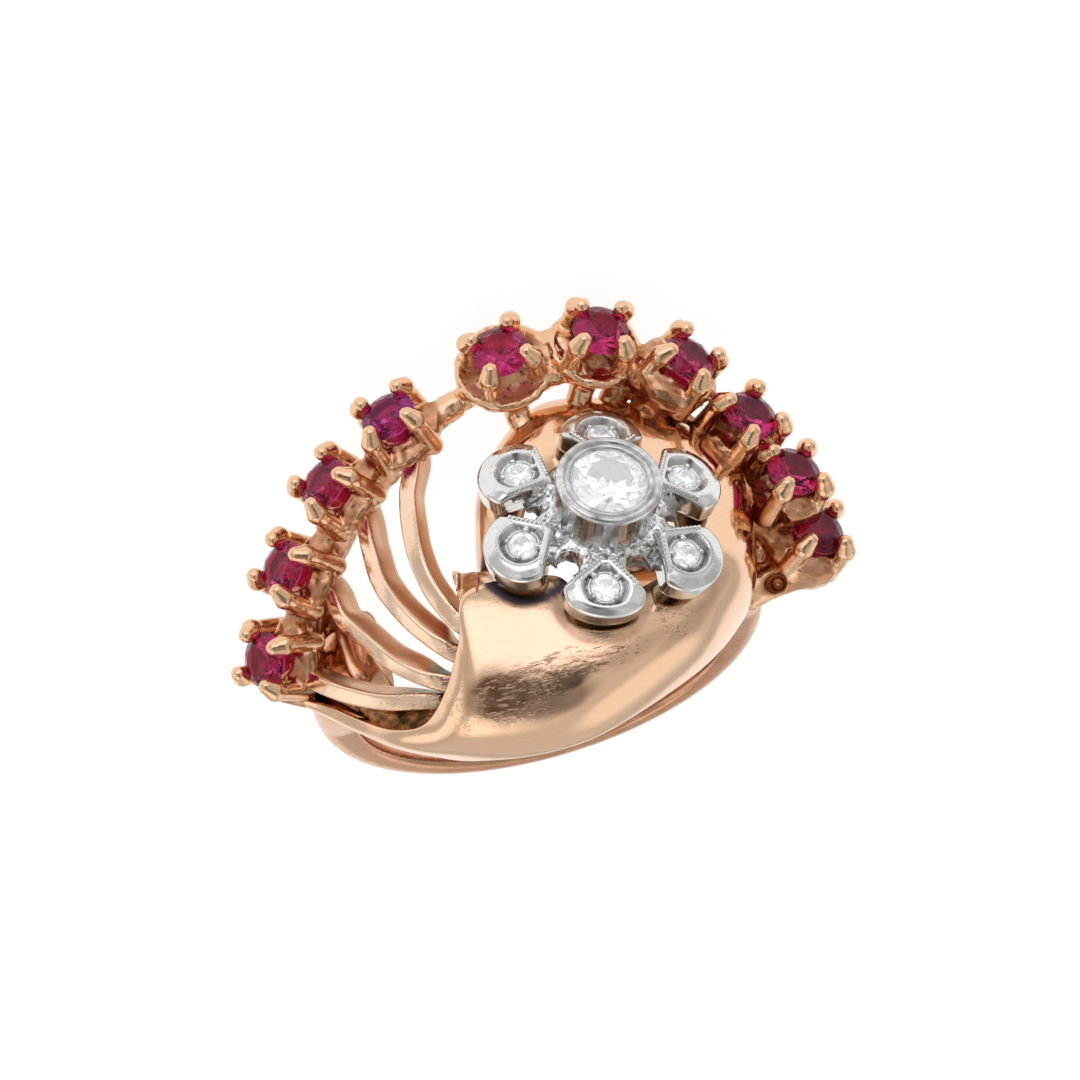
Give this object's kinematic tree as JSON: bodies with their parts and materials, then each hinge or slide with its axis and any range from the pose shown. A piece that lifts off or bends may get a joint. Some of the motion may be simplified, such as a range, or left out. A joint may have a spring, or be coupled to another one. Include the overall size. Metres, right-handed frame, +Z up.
{
  "type": "diamond ring",
  "caption": "Hollow rose-gold scroll round a white-metal diamond flower, with wires fanning out to an arc of claw-set rubies.",
  "frame": {"origin": "middle of the finger hole, on its axis", "axes": "the ring lies on the side that it rests on: +X across the finger towards the last ruby of the arc, +Y towards the flower, +Z up from the floor"},
  "size_m": [0.0283, 0.0257, 0.0171],
  "materials": {
    "rose_gold": "polished, worn",
    "white_metal": "polished",
    "diamond": "faceted",
    "ruby": "faceted"
  },
  "bodies": {
    "root": {"hoop": "rose_gold", "scroll_mount": "rose_gold", "flower_setting": "white_metal", "centre_diamond": "diamond", "petal_diamond_1": "diamond", "petal_diamond_2": "diamond", "petal_diamond_3": "diamond", "petal_diamond_4": "diamond", "petal_diamond_5": "diamond", "petal_diamond_6": "diamond", "ruby_1": "ruby", "ruby_2": "ruby", "ruby_3": "ruby", "ruby_4": "ruby", "ruby_5": "ruby", "ruby_6": "ruby", "ruby_7": "ruby", "ruby_8": "ruby", "ruby_9": "ruby", "ruby_10": "ruby"}
  },
  "joints": []
}
